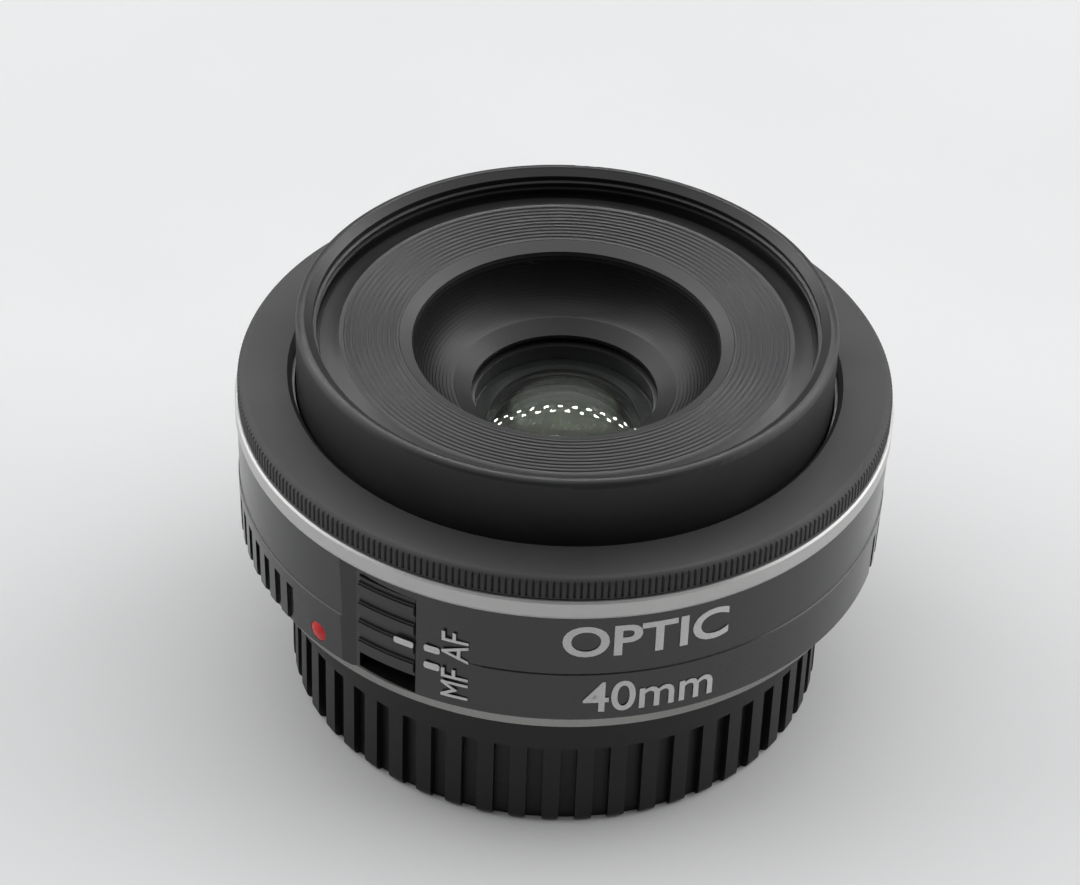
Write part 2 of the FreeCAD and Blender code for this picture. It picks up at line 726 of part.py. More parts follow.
# ---------------------------------------------------------------- gear plate, motor, electronics
def make_base_plate():
    idler, motor = gear_places()
    plate = shell(26.9, 14.2, SEAT, SEAT + 1.0)
    plate = plate.cut(rod(4.6, 0, 30, motor)).cut(rod(0.5, 0, 30, idler))
    plate = plate.cut(block(20.8, 21.5, 7.4, 18, 21, CONTACT_ANGLE))
    solid_piece("base_plate", plate)
    solid_piece("idler_shaft", rod(0.5, SEAT, 23.0, idler))
    can = rod(4.5, 14.1, 18.9, motor).fuse(rod(4.2, 13.7, 19.3, motor))
    shaft = rod(0.4, 19.2, 22.2, motor)
    solid_piece("focus_motor", can.fuse(shaft).removeSplitter())
    bridge = shell(24.6, 15.2, BRIDGE_LOW, BRIDGE_HIGH).common(wedge(26, 36, 112, 20, 25))
    posts = [rod(0.9, SEAT + 1.0, BRIDGE_LOW, around(*post)) for post in BRIDGE_POSTS]
    bridge = joined([bridge] + posts).cut(rod(0.52, 20, 30, idler))
    for post in BRIDGE_POSTS:
        bridge = bridge.cut(rod(0.52, 10, 30, around(*post)))
    solid_piece("gear_bridge", bridge)


def small_screw(spot, low, seat):
    """Slotted M1 screw: its shank starts at low, its head sits on seat."""
    slot = Part.makeBox(1.8, 0.25, 0.3, V(spot.x - 0.9, spot.y - 0.12, seat + 0.3))
    return joined([rod(0.85, seat, seat + 0.5, spot), rod(0.5, low, seat + 0.1, spot)]).cut(slot)


def make_small_screws():
    bridge = [small_screw(around(*post), 20.0, BRIDGE_HIGH) for post in BRIDGE_POSTS]
    board = [small_screw(around(*spot), 19.95, BOARD_HIGH) for spot in BOARD_SCREWS]
    solid_piece("small_screws", group(bridge + board))


def make_electronics():
    board = shell(26.6, 16.2, BOARD_LOW, BOARD_HIGH).cut(wedge(27, 25, 122, 0, 40))
    posts = [rod(1.0, SEAT + 1.0, BOARD_LOW, around(*spot)) for spot in BOARD_SCREWS]
    board_holes = [rod(0.55, 19, 25, around(*spot)) for spot in BOARD_SCREWS]
    solid_piece("main_board", board.cut(group(board_holes)))
    chips = [block(near, far, width, BOARD_HIGH, BOARD_HIGH + thick, angle)
             for near, far, width, thick, angle in CHIPS]
    solid_piece("board_chips", group(chips))
    spacers = [p.cut(h) for p, h in zip(posts, board_holes)]
    solid_piece("board_spacers", group(spacers))
    strip = [block(21.0, 21.3, 7.0, 15.4, 20.2, CONTACT_ANGLE),
             block(21.0, 24.0, 7.0, 19.95, 20.25, CONTACT_ANGLE),
             block(23.7, 24.0, 7.0, 19.95, BOARD_LOW, CONTACT_ANGLE)]
    solid_piece("contact_flex", joined(strip))
    sensor = block(29.85, 32.2, 4.0, 21.4, 24.2, 150).cut(block(30.6, 31.7, 6.0, 22.3, 26, 150))
    other = sensor.copy()
    other.rotate(V(0, 0, 0), UP, 12)
    solid_piece("focus_sensors", group([sensor, other]))


# ---------------------------------------------------------------- AF/MF switch
def make_switch():
    angle = S.switch_angle
    core = block(32.1, 36, 6.6, KNOB_LOW, KNOB_HIGH, angle).common(shell(33.35, 32.45, 0, 50))
    ribs = []
    for i in range(4):
        z = KNOB_LOW + 0.5 + 2.45 * i
        for inset, crest in ((0.0, 33.55), (0.25, 33.7)):
            bar = block(32.8, 36, 6.6, z + inset, z + 1.5 - inset, angle)
            ribs.append(bar.common(shell(crest, 32.8, 0, 50)))
    stem = block(31.95, 32.6, 3.0, 25.0, 28.0, angle)
    solid_piece("switch_knob", joined([core, stem] + ribs))
    solid_piece("switch_brush", group([block(31.82, 31.95, 0.8, 25.4, 27.6, number(angle) + side)
                                       for side in (-1.2, 1.2)]))
    board = block(31.5, 31.75, 7.2, 20.9, 31.0, angle)
    solid_piece("switch_board", board)


# ---------------------------------------------------------------- moving unit, outside
def make_filter_ring():
    top = S.front_z
    radius, bore = S.unit_radius + 0.05, S.filter_bore
    turned("filter_ring", [
        (bore, top - 0.65), (bore + 0.75, top - 0.1), (bore + 0.95, top, -0.25),
        (radius - 0.7, top), (radius, top - 0.7, -0.7), (radius, top - 8.1),
        (radius - 1.15, top - 8.1), (radius - 1.15, top - 3.6), (bore - 0.6, top - 3.6),
        (bore - 0.6, top - 3.1), (bore + 0.4, top - 3.1), (bore + 0.4, top - 2.45),
        (bore, top - 2.45)])


def make_trim():
    """Front ring with shallow record-like grooves between its rim and the bevel."""
    rim = S.trim_radius
    high = S.front_z - 2.5
    low = S.front_z - 2.85
    count = 10
    pitch = (rim - 0.35 - S.bevel_radius) / count
    corners = [(S.bevel_radius + 0.05, low - 1.0), (S.filter_bore - 0.65, low - 1.0),
               (S.filter_bore - 0.65, high - 0.55), (rim + 0.25, high - 0.02, -4.0),
               (rim - 0.05, high - 0.05)]
    fall = (high - 0.05 - low) / count
    for i in range(count):
        start = rim - 0.2 - pitch * i
        level = high - 0.05 - fall * i
        corners += [(start, level), (start - 0.12, level - 0.12), (start - 0.3, level - 0.12),
                    (start - 0.42, level - 0.02)]
    corners.append((S.bevel_radius + 0.05, low))
    turned("front_trim_ring", corners)


def make_front_baffle():
    """Black bowl with fine turned rings that leads down to the front glass."""
    bevel_z = S.front_z - 2.85
    edge_z = S.front_z - 3.5
    toe_radius, toe_z = 11.5, 35.5
    steps, groove = 18, 0.07

    def bowl(share, wider=0.0):
        turn = math.radians(90 * share)
        return (toe_radius + (number(S.cup_radius) - toe_radius + wider) * math.cos(turn),
                number(edge_z) - (number(edge_z) - toe_z + wider) * math.sin(turn))

    corners = [(S.cup_radius + 0.8, edge_z - 0.4), (S.bevel_radius, edge_z - 0.4),
               (S.bevel_radius, bevel_z), (S.cup_radius, edge_z)]
    for i in range(1, steps + 1):
        corners += [bowl(i / steps, groove), bowl(i / steps)]
    corners += [(S.window_radius, S.window_z), (S.window_radius, S.window_z - 0.4),
                (toe_radius + 0.3, S.window_z - 0.4)]
    corners += [bowl(share / 6, 0.6) for share in (5, 4, 3, 2, 1)]
    turned("front_baffle", corners)


# ---------------------------------------------------------------- moving unit, inside
def make_inner_barrel():
    radius = S.unit_radius
    body = turned("unit", [
        (11.55, 25.9), (12.9, 25.9), (12.9, WEB_LOW), (radius, WEB_LOW), (radius, 36.3),
        (radius - 1.2, 36.3), (radius - 1.2, WEB_HIGH), (12.1, WEB_HIGH), (12.1, 33.0),
        (11.0, 33.0), (11.0, 27.2), (11.55, 27.2)], label=False)
    doc.recompute()
    arm = [block(26.0, 27.7, 4.4, number(S.follower_z) - 1.3, WEB_LOW + 0.4, a)
           .common(shell(radius, radius - 1.2, 20, 40)) for a in FOLLOWER_ANGLES]
    shape = joined([body.Shape] + arm)
    for angle in FOLLOWER_ANGLES:
        shape = shape.cut(radial_rod(0.62, 20, 30, angle, S.follower_z))
    iris_axis = around(IRIS_PINION_ORBIT, IRIS_MOTOR_ANGLE)
    shape = shape.cut(rod(0.8, 20, 40, iris_axis))
    cut_box = rod(2.85, WEB_HIGH, 40, iris_axis)
    solid_piece("inner_barrel", shape.cut(cut_box))


def make_followers():
    rollers, screws = [], []
    for angle in FOLLOWER_ANGLES:
        z = S.follower_z
        roller = radial_rod(S.follower_radius, 27.72, 29.55, angle, z)
        head = radial_rod(0.8, 29.2, 29.55, angle, z)
        rollers.append(roller.cut(head).cut(radial_rod(0.62, 27, 31, angle, z)))
        slot = block(29.4, 29.7, 0.25, number(z) - 1, number(z) + 1, angle)
        shank = radial_rod(0.6, 26.6, 29.25, angle, z)
        screws.append(radial_rod(0.78, 29.22, 29.52, angle, z).fuse(shank).cut(slot))
    solid_piece("cam_followers", group(rollers))
    solid_piece("follower_screws", group(screws))


def lens(label, radius, front, front_bend, rear, rear_bend):
    """A glass element; a positive bend has its centre below the surface, a flat edge joins them."""
    def edge_height(vertex, bend):
        drop = abs(bend) - math.sqrt(bend * bend - radius * radius)
        return vertex - math.copysign(drop, bend)
    top, low = edge_height(front, front_bend), edge_height(rear, rear_bend)
    turned(label, [(0, rear), (radius, low, -rear_bend), (radius, top), (0, front, front_bend)])


def make_glass():
    lens("lens_1", 9.9, 33.9, 21.0, 32.0, 45.0)
    lens("lens_2", 7.4, 31.6, 17.0, 28.8, -34.0)
    joint, rear = 28.8, 28.1
    drop = 10.0 - math.sqrt(100.0 - 36.0)
    turned("lens_3", [(0, rear), (6.0, rear - drop, -10.0), (7.4, rear - drop),
                      (7.4, joint + 34.0 - math.sqrt(34.0 ** 2 - 7.4 ** 2)), (0, joint, -34.0)])
    glue, top = 21.73, 22.43
    dip = 14.0 - math.sqrt(14.0 ** 2 - 5.6 ** 2)
    turned("lens_4", [(0, glue), (7.0, glue - 22.0 + math.sqrt(22.0 ** 2 - 49.0), -22.0),
                      (7.0, top + dip), (5.6, top + dip), (0, top, -14.0)])
    lens("lens_5", 7.0, glue, 22.0, 18.88, -18.0)
    lens("lens_6", 7.8, 18.5, -40.0, 17.0, -25.0)


def make_cells():
    turned("front_cell", [
        (7.45, 25.95), (10.95, 25.95), (10.95, 33.4), (9.95, 33.4), (9.95, 30.88), (9.0, 30.88),
        (7.45, 29.9)])
    turned("front_retainer", [(9.3, 31.75), (9.9, 31.45), (9.9, 33.35), (9.3, 33.35)])
    turned("rear_cell", [
        (7.85, 16.7), (9.2, 16.7), (9.2, 23.15), (10.6, 23.15), (10.6, 23.9), (7.05, 23.9),
        (7.05, 20.0), (7.85, 19.6)])
    turned("rear_retainer", [(7.2, 16.3), (9.2, 16.3), (9.2, 16.65), (7.2, 16.65)])


# ---------------------------------------------------------------- iris
def drive_pin(share):
    """The drive pin of the blade at angle 0 when its swing is at a share of its range."""
    pivot = V(number(S.pivot_radius), 0, 0)
    lead = math.radians(PIN_LEAD)
    arm = polar(number(S.pivot_radius), lead) - pivot
    swing = FreeCAD.Rotation(UP, number(S.blade_swing) * share)
    return pivot + swing.multVec(arm)


def drive_slot(low, high):
    """The cam slot of the drive ring: the pin's path seen from the turning ring."""
    path = [FreeCAD.Rotation(UP, -number(S.ring_swing) * t).multVec(drive_pin(t))
            for t in (0.0, 0.5, 1.0)]
    reach = PIN_RADIUS + PIN_SLACK
    arc = Part.Arc(*path).toShape().Curve
    centre = arc.Center
    radius = arc.Radius
    band = Part.makeCylinder(radius + reach, high - low, V(centre.x, centre.y, low))
    band = band.cut(Part.makeCylinder(radius - reach, high - low, V(centre.x, centre.y, low)))
    ends = [(p - centre).normalize() * (radius * 1.4) + centre for p in (path[0], path[2])]
    wide = [centre, ends[0], (path[1] - centre).normalize() * (radius * 1.6) + centre, ends[1], centre]
    sector = Part.Face(Part.makePolygon([V(p.x, p.y, low) for p in wide])).extrude(V(0, 0, high - low))
    caps = [rod(reach, low, high, p) for p in (path[0], path[2])]
    return [band.common(sector)] + caps


def make_iris():
    count = int(number(S.blade_count))
    base = shell(13.38, S.iris_bore, 23.9, 24.45)
    ring = shell(13.3, 10.9, RING_LOW, RING_HIGH)
    cover = shell(13.4, S.iris_bore, 25.6, 25.9).fuse(shell(13.9, 13.4, 23.9, 25.9))
    pitch = IRIS_MODULE * IRIS_TEETH / 2
    teeth = gear_face(IRIS_MODULE, IRIS_TEETH, IRIS_PLAY, pitch - 0.36, pitch + 0.25)
    teeth = teeth.extrude(V(0, 0, RING_HIGH - RING_LOW))
    teeth.rotate(V(0, 0, 0), UP, IRIS_MOTOR_ANGLE - 90.0)
    teeth.translate(V(0, 0, RING_LOW))
    toothed = wedge(13.5, IRIS_MOTOR_ANGLE - 26, IRIS_MOTOR_ANGLE + 16, 20, 30)
    smooth = ring.common(rod(pitch - 0.36, 20, 30))
    sector = teeth.common(toothed).common(shell(14, 12.3, 20, 30))
    ring = joined([smooth, sector])
    for i in range(count):
        turn = 360.0 * i / count
        pivot = polar(number(S.pivot_radius), math.radians(turn))
        base = base.cut(rod(PIN_RADIUS + PIN_SLACK, 20, 30, pivot))
        for cutter in drive_slot(RING_LOW - 1, RING_HIGH + 1):
            cutter.rotate(V(0, 0, 0), UP, turn)
            ring = ring.cut(cutter)
    gap = block(12.4, 17.0, 4.2, 23.0, 25.95, IRIS_MOTOR_ANGLE).cut(rod(13.4, 20, 24.45))
    solid_piece("iris_base", base)
    solid_piece("iris_cover", cover.cut(gap).cut(rod(6.5, 25.4, 27)))
    solid_piece("iris_drive_ring", ring)
    for i in range(count):
        make_blade(i, count)
    make_iris_motor()


def make_blade(i, count):
    """One of the curved leaves; each lies on a level of its own."""
    low = BLADE_LOW + BLADE_STEP * i
    high = low + BLADE_SHEET
    leaf = shell(11.2, S.iris_bore, low, high).common(wedge(12, 90 - 4, 90 + 108, low - 1, high + 1))
    pivot = V(number(S.pivot_radius), 0, 0)
    pin = drive_pin(0.0)
    ear = joined([rod(0.85, low, high, pivot), rod(0.75, low, high, pin),
                  rod(0.8, low, high, polar(11.4, math.radians(PIN_LEAD / 2)))])
    blade = joined([leaf, ear, rod(PIN_RADIUS, 24.0, high, pivot),
                    rod(PIN_RADIUS, low, RING_HIGH + 0.02, pin)])
    blade.rotate(V(0, 0, 0), UP, 360.0 * i / count)
    solid_piece(f"iris_blade_{i + 1}", blade)


def make_iris_motor():
    axis = around(IRIS_PINION_ORBIT, IRIS_MOTOR_ANGLE)
    can = rod(2.8, WEB_HIGH + 0.02, 34.0, axis)
    solid_piece("iris_motor", can.fuse(rod(0.3, 25.1, WEB_HIGH + 0.1, axis)).removeSplitter())
    facing = 90.0 + IRIS_MOTOR_ANGLE
    pinion = gear(IRIS_MODULE, IRIS_PINION_TEETH, IRIS_PLAY, RING_LOW, RING_HIGH, axis,
                  facing + 180.0 / IRIS_PINION_TEETH, 0.3)
    solid_piece("iris_pinion", pinion)


# ---------------------------------------------------------------- build
def make_all():
    for make in (make_rear_cap, make_mount, make_mount_screws, make_contacts, make_rear_baffle,
                 make_barrel, make_index_dot, make_barrel_rings, make_focus_ring,
                 make_encoder_comb, make_guide_barrel, make_guide_screws, make_cam_ring,
                 make_gears, make_base_plate, make_small_screws, make_electronics, make_switch,
                 make_filter_ring, make_trim, make_front_baffle, make_inner_barrel,
                 make_followers, make_glass, make_cells, make_iris):
        make()
    doc.recompute()


def check_all():
    for item in doc.Objects:
        if {"Invalid", "Error"} & set(item.State):
            raise RuntimeError(f"{item.Name} is {item.State}")
    labels = [piece.Label for piece in KEPT]
    if len(set(labels)) != len(labels):
        raise RuntimeError("two sub-parts share a label")
    for piece in KEPT:
        if piece.Shape.isNull() or not piece.Shape.isValid() or piece.Shape.Volume <= 0:
            raise RuntimeError(f"{piece.Label} has a bad shape")


def write_all():
    os.makedirs("parts", exist_ok=True)
    for piece in KEPT:
        piece.Shape.exportStep(f"parts/{piece.Label}.step")
    print(f"{len(KEPT)} sub-parts written")


make_all()
check_all()
write_all()
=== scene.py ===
"""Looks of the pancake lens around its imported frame: finishes, thread, lettering, light and camera.

Metres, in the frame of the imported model: origin at the centre of the rear cap's foot, +Z to the
front of the lens, -Y towards the side with the lettering.
"""

import json
import math

import bmesh
import bpy
from mathutils import Matrix, Vector


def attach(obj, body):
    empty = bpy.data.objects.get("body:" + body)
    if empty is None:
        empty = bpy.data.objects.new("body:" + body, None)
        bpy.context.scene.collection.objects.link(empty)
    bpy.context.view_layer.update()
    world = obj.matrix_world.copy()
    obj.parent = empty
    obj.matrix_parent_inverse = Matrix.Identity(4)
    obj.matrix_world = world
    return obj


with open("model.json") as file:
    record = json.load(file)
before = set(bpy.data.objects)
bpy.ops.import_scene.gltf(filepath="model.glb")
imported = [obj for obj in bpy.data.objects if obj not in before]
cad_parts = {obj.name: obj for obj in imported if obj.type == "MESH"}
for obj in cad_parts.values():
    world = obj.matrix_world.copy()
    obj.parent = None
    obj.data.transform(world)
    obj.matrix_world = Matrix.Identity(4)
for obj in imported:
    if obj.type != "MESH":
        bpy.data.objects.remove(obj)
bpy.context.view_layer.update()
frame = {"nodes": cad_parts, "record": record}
NODES = frame["nodes"]
MM = 0.001

# ---------------------------------------------------------------- sizes repeated from the CAD, mm
BARREL_RADIUS = 33.93
KNOB_RADIUS = 33.75
SCOOP_RADIUS = 33.55
THREAD_MAJOR = 26.0
THREAD_DEPTH = 0.3
THREAD_PITCH = 0.75
THREAD_TOP = 43.8
THREAD_TURNS = 2.0
THREAD_STEPS_A_TURN = 180
THREAD_FADE_STEPS = 25
THREAD_SECTION = ((0.42, 0.30), (-1.0, 0.07), (-1.0, -0.07), (0.42, -0.30))
FLANGE_Z = 17.0
PRINT_THICKNESS = 0.03
BEND_STEP = 0.4

# ---------------------------------------------------------------- zones: least and greatest radius, colour
BEVEL = (15.88, 60.0, (0.050, 0.050, 0.050, 1.0))
# Painted shade: the filter ring's inner thread wall is coloured darker than the ring's plastic, standing in
# for the shade inside the ring.
THREAD_WALL_PAINTED_SHADE = (0.0, 26.04, (0.006, 0.006, 0.006, 1.0))
ZONE_EDGE = 0.04
DUST_COLOUR = (0.32, 0.31, 0.29, 1.0)

# ---------------------------------------------------------------- studio, metres
PAPER_DARK = (0.77, 0.77, 0.77, 1.0)
PAPER_PALE = (0.80, 0.80, 0.80, 1.0)
TENT_FADE = (-0.5, 0.12, 0.09, 0.95)
TENT_COLOUR = (0.97, 0.98, 1.0, 1.0)
LED_Y, LED_Z, LED_COUNT, LED_PITCH, LED_ROW_GAP = 0.29, 0.40, 24, 0.052, 0.042
LED_LONG, LED_WIDE = 0.0085, 0.0075
LED_STRENGTH = 150.0

# ---------------------------------------------------------------- camera
IMAGE_WIDTH = 1080
FOCAL_PX = 3500.0
AIM = Vector((0.0, 0.0, 0.03045))
DISTANCE = 0.3656
ELEVATION = math.radians(37.802)
ROLL = math.radians(2.487)
SHIFT_PX = (22.286, -22.168)


def around(radius, degrees, z):
    """A point at an angle counted from -Y towards +X; millimetres in, metres out."""
    turn = math.radians(degrees)
    return Vector((radius * math.sin(turn), -radius * math.cos(turn), z)) * MM


# ---------------------------------------------------------------- node trees
class Tree:
    """Builds one material's nodes."""

    def __init__(self, name):
        self.material = bpy.data.materials.new(name)
        self.material.use_nodes = True
        self.nodes = self.material.node_tree.nodes
        self.links = self.material.node_tree.links
        self.shader = self.nodes["Principled BSDF"]
        self.place = self.put("ShaderNodeTexCoord").outputs["Object"]

    def put(self, kind, inputs=None, **settings):
        node = self.nodes.new(kind)
        for key, value in settings.items():
            setattr(node, key, value)
        self.set(node, inputs or {})
        return node

    def set(self, node, inputs):
        for key, value in inputs.items():
            if isinstance(value, bpy.types.NodeSocket):
                self.links.new(value, node.inputs[key])
            else:
                node.inputs[key].default_value = value

    def math(self, operation, first, second=0.0):
        return self.put("ShaderNodeMath", {0: first, 1: second}, operation=operation).outputs[0]

    def noise(self, size_mm, detail=2.0, roughness=0.55, place=None):
        inputs = {"Vector": place or self.place, "Scale": 1.0 / (size_mm * MM), "Detail": detail,
                  "Roughness": roughness}
        return self.put("ShaderNodeTexNoise", inputs).outputs[0]

    def span(self, value, low, high, to_low=0.0, to_high=1.0):
        """Maps one range onto another, clamped."""
        inputs = {"Value": value, "From Min": low, "From Max": high, "To Min": to_low, "To Max": to_high}
        return self.put("ShaderNodeMapRange", inputs).outputs[0]

    def mix(self, share, first, second):
        node = self.put("ShaderNodeMix", data_type="RGBA")
        self.set(node, {0: share, 6: first, 7: second})
        return node.outputs[2]

    def radius(self):
        """Distance from the optical axis."""
        parts = self.put("ShaderNodeSeparateXYZ", {0: self.place}).outputs
        across = self.put("ShaderNodeCombineXYZ", {0: parts[0], 1: parts[1]}).outputs[0]
        return self.put("ShaderNodeVectorMath", {0: across}, operation="LENGTH").outputs["Value"], parts[2]

    def turned(self, size_mm):
        """Fine rings left by turning or moulding, the same all the way round."""
        out, up = self.radius()
        lathe = self.put("ShaderNodeCombineXYZ", {0: out, 1: up}).outputs[0]
        return self.noise(size_mm, 1.0, 0.5, lathe)

    def edges(self, width_mm):
        """Near one where a corner is within the width, zero on flats."""
        round_normal = self.put("ShaderNodeBevel", {"Radius": width_mm * MM}, samples=4).outputs[0]
        flat_normal = self.put("ShaderNodeNewGeometry").outputs["Normal"]
        facing = self.put("ShaderNodeVectorMath", {0: round_normal, 1: flat_normal}, operation="DOT_PRODUCT")
        return self.span(facing.outputs["Value"], 0.99, 0.80)


def shade(colour, factor):
    return tuple(min(1.0, channel * factor) for channel in colour) + (1.0,)


def surface(name, colour, rough, metal=0.0, grain=0.25, depth=0.004, lathe=0.0, lathe_size=0.12,
            spread=0.1, tone=0.12, patch=7.0, wear_and_edge_highlight=0.25, wear_and_edge_highlight_width=0.18, coat=0.0, coat_rough=0.2,
            specular=0.5, dust=0.0, zone=None):
    """An opaque finish: grain, turning rings, uneven gloss, patches of tone, lighter edges that are painted
    edge highlight and light wear.

    A zone is (least radius, greatest radius, colour): there the piece has another colour; on the bevel that is
    a lighter tone, on the thread wall it is painted shade.
    """
    tree = Tree(name)
    fine = tree.noise(grain, 3.0)
    broad = tree.noise(patch, 4.0)
    height = tree.math("MULTIPLY", fine, depth * MM)
    if lathe:
        height = tree.math("ADD", height, tree.math("MULTIPLY", tree.turned(lathe_size), lathe * MM))
    bump = tree.put("ShaderNodeBump", {"Height": height, "Strength": 1.0, "Distance": 1.0})
    tint = tree.mix(tree.span(broad, 0.3, 0.7), shade(colour, 1 - tone), shade(colour, 1 + tone))
    gloss = tree.math("ADD", tree.span(broad, 0.3, 0.7, rough - spread / 2, rough + spread / 2),
                      tree.span(fine, 0.3, 0.7, -spread / 3, spread / 3))
    # The zone's colour; on the filter ring this is painted shade on the inner thread wall.
    if zone:
        out = tree.radius()[0]
        low, high, own_colour = zone
        beyond = tree.span(out, low * MM, (low + ZONE_EDGE) * MM)
        within = tree.span(out, high * MM, (high - ZONE_EDGE) * MM)
        tint = tree.mix(tree.math("MULTIPLY", beyond, within), tint, own_colour)
    # Lighter, slightly glossier corners: painted edge highlight, also standing for light wear.
    if wear_and_edge_highlight:
        worn_and_highlit_edges = tree.math("MULTIPLY", tree.edges(wear_and_edge_highlight_width), tree.span(broad, 0.35, 0.6, 0.35, 1.0))
        tint = tree.mix(tree.math("MULTIPLY", worn_and_highlit_edges, wear_and_edge_highlight), tint, shade(colour, 2.2))
        gloss = tree.math("SUBTRACT", gloss, tree.math("MULTIPLY", worn_and_highlit_edges, 0.1))
    if dust:
        specks = tree.put("ShaderNodeTexVoronoi", {"Vector": tree.place, "Scale": 1.0 / (1.7 * MM)})
        settled = tree.math("MULTIPLY", tree.span(specks.outputs["Distance"], 0.035, 0.0), dust)
        tint = tree.mix(settled, tint, DUST_COLOUR)
    tree.set(tree.shader, {"Base Color": tint, "Roughness": gloss, "Metallic": metal,
                           "Normal": bump.outputs[0], "Coat Weight": coat, "Coat Roughness": coat_rough,
                           "Specular IOR Level": specular})
    return tree.material


def brushed(name, colour, rough, along=(1, 1, 14)):
    """Bare metal with fine brush lines."""
    tree = Tree(name)
    stretched = tree.put("ShaderNodeMapping", {"Vector": tree.place, "Scale": along}).outputs[0]
    lines = tree.noise(0.3, 3.0, 0.6, stretched)
    broad = tree.noise(5.0, 3.0)
    bump = tree.put("ShaderNodeBump", {"Height": tree.math("MULTIPLY", lines, 0.003 * MM), "Distance": 1.0})
    # Lighter corners: painted edge highlight, also standing for light wear.
    worn_and_highlit_edges = tree.math("MULTIPLY", tree.edges(0.15), 0.4)
    tint = tree.mix(tree.span(broad, 0.3, 0.7), shade(colour, 0.88), shade(colour, 1.06))
    tint = tree.mix(worn_and_highlit_edges, tint, shade(colour, 1.25))
    gloss = tree.math("ADD", tree.span(broad, 0.3, 0.7, rough - 0.05, rough + 0.05),
                      tree.span(lines, 0.3, 0.7, -0.05, 0.05))
    tree.set(tree.shader, {"Base Color": tint, "Roughness": gloss, "Metallic": 1.0,
                           "Normal": bump.outputs[0]})
    return tree.material


def glass(name, ior, gleam, tint):
    """Coated optical glass; the coating gives its reflections a faint colour."""
    tree = Tree(name)
    haze = tree.span(tree.noise(2.5, 3.0), 0.55, 0.8, 0.0, 0.003)
    tree.set(tree.shader, {"Base Color": tint, "Roughness": haze, "IOR": ior, "Transmission Weight": 1.0,
                           "Specular Tint": gleam})
    return tree.material


def printed(name, colour):
    """Pad-printed ink: thin, slightly uneven, satin."""
    tree = Tree(name)
    fine = tree.noise(0.12, 3.0)
    tint = tree.mix(tree.span(fine, 0.35, 0.65), shade(colour, 0.82), shade(colour, 1.05))
    bump = tree.put("ShaderNodeBump", {"Height": tree.math("MULTIPLY", fine, 0.004 * MM), "Distance": 1.0})
    tree.set(tree.shader, {"Base Color": tint, "Roughness": tree.span(fine, 0.3, 0.7, 0.42, 0.6),
                           "Normal": bump.outputs[0]})
    return tree.material


